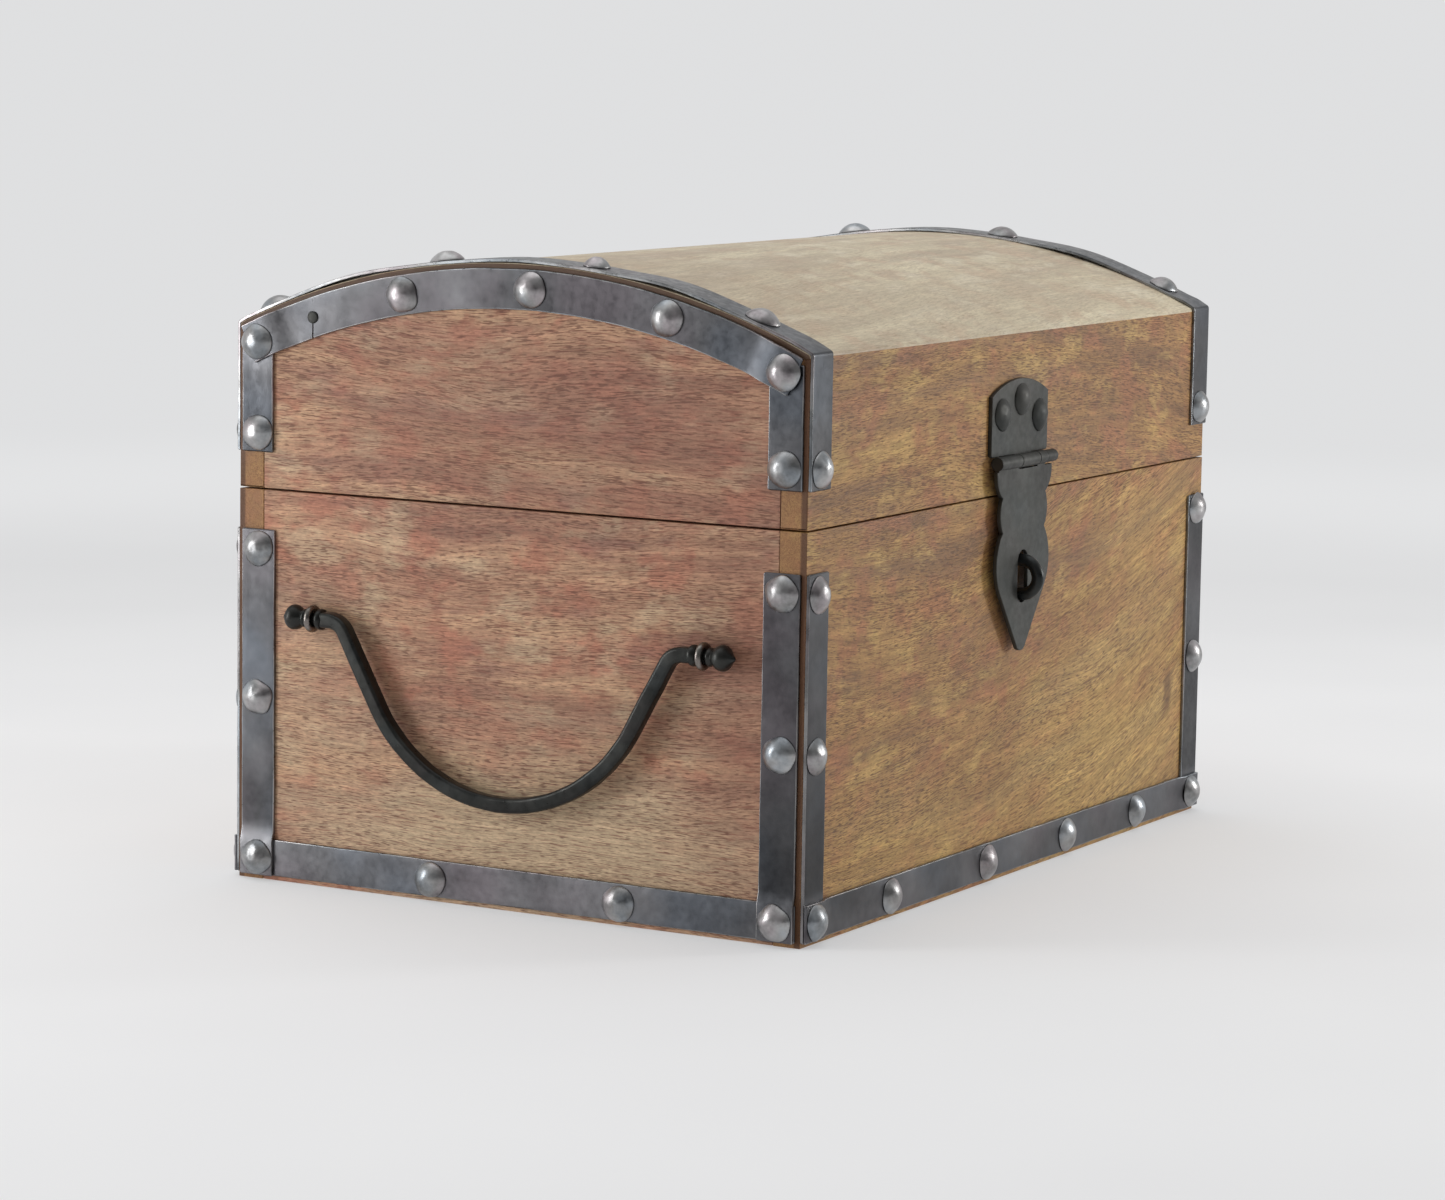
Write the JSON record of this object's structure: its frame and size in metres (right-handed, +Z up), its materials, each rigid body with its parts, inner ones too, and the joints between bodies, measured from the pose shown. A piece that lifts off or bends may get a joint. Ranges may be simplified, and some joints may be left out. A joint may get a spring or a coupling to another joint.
{
  "type": "wooden chest",
  "caption": "Small dome-lidded wooden chest bound with nailed iron straps, with a hasp and staple on the front and a swinging bail handle on each end.",
  "frame": {"origin": "centre of the underside of the wooden box", "axes": "+X along the chest's length, -Y out of the front with the hasp, +Z up"},
  "size_m": [0.3026, 0.2164, 0.1987],
  "materials": {
    "board_wood": "oiled",
    "roof_wood": "oiled",
    "strap_iron": "satin, blued",
    "nail_iron": "hammered",
    "hasp_iron": "matte",
    "forged_iron": "satin",
    "eye_wire": "bare wire"
  },
  "bodies": {
    "box": {"back_board": "board_wood", "back_foot_strap": "strap_iron", "back_left_upright_strap": "strap_iron", "back_right_upright_strap": "strap_iron", "bottom_board": "board_wood", "box_back_nails": "nail_iron", "box_front_nails": "nail_iron", "box_left_nails": "nail_iron", "box_right_nails": "nail_iron", "front_board": "board_wood", "front_foot_strap": "strap_iron", "front_left_upright_strap": "strap_iron", "front_right_upright_strap": "strap_iron", "hinge_box_screws": "hasp_iron", "left_back_upright_strap": "strap_iron", "left_end_board": "board_wood", "left_foot_strap": "strap_iron", "left_front_upright_strap": "strap_iron", "left_handle_eyes": "eye_wire", "left_hinge_box_leaf": "hasp_iron", "left_hinge_pin": "hasp_iron", "right_back_upright_strap": "strap_iron", "right_end_board": "board_wood", "right_foot_strap": "strap_iron", "right_front_upright_strap": "strap_iron", "right_handle_eyes": "eye_wire", "right_hinge_box_leaf": "hasp_iron", "right_hinge_pin": "hasp_iron", "staple": "forged_iron"},
    "lid": {"flat_pin": "nail_iron", "hasp_nails": "hasp_iron", "hasp_pin": "hasp_iron", "hasp_upper_leaf": "hasp_iron", "hinge_lid_screws": "hasp_iron", "left_arch_strap": "strap_iron", "left_back_gable_strap": "strap_iron", "left_front_gable_strap": "strap_iron", "left_hinge_lid_leaf": "hasp_iron", "left_hoop_nails": "nail_iron", "left_roof_hoop": "strap_iron", "lid_back_rail": "board_wood", "lid_front_rail": "board_wood", "lid_left_gable": "board_wood", "lid_left_nails": "nail_iron", "lid_right_gable": "board_wood", "lid_right_nails": "nail_iron", "right_arch_strap": "strap_iron", "right_back_gable_strap": "strap_iron", "right_front_gable_strap": "strap_iron", "right_hinge_lid_leaf": "hasp_iron", "right_hoop_nails": "nail_iron", "right_roof_hoop": "strap_iron", "roof_panel": "roof_wood"},
    "hasp": {"hasp_lower_leaf": "hasp_iron"},
    "left_handle": {"left_bail": "forged_iron"},
    "right_handle": {"right_bail": "forged_iron"}
  },
  "joints": [
    {"name": "lid_hinge", "type": "hinge", "parent": "box", "child": "lid", "pos_m": [0, 0.1029, 0.1225], "axis": [-1, 0, 0], "range_deg": [0, 165]},
    {"name": "hasp_hinge", "type": "hinge", "parent": "lid", "child": "hasp", "pos_m": [-0.0055, -0.1029, 0.1329], "axis": [-1, 0, 0], "range_deg": [0, 165]},
    {"name": "left_handle_swing", "type": "hinge", "parent": "box", "child": "left_handle", "pos_m": [-0.147, 0, 0.0843], "axis": [0, 1, 0], "range_deg": [0, 180]},
    {"name": "right_handle_swing", "type": "hinge", "parent": "box", "child": "right_handle", "pos_m": [0.147, 0, 0.0843], "axis": [0, -1, 0], "range_deg": [0, 180]}
  ]
}
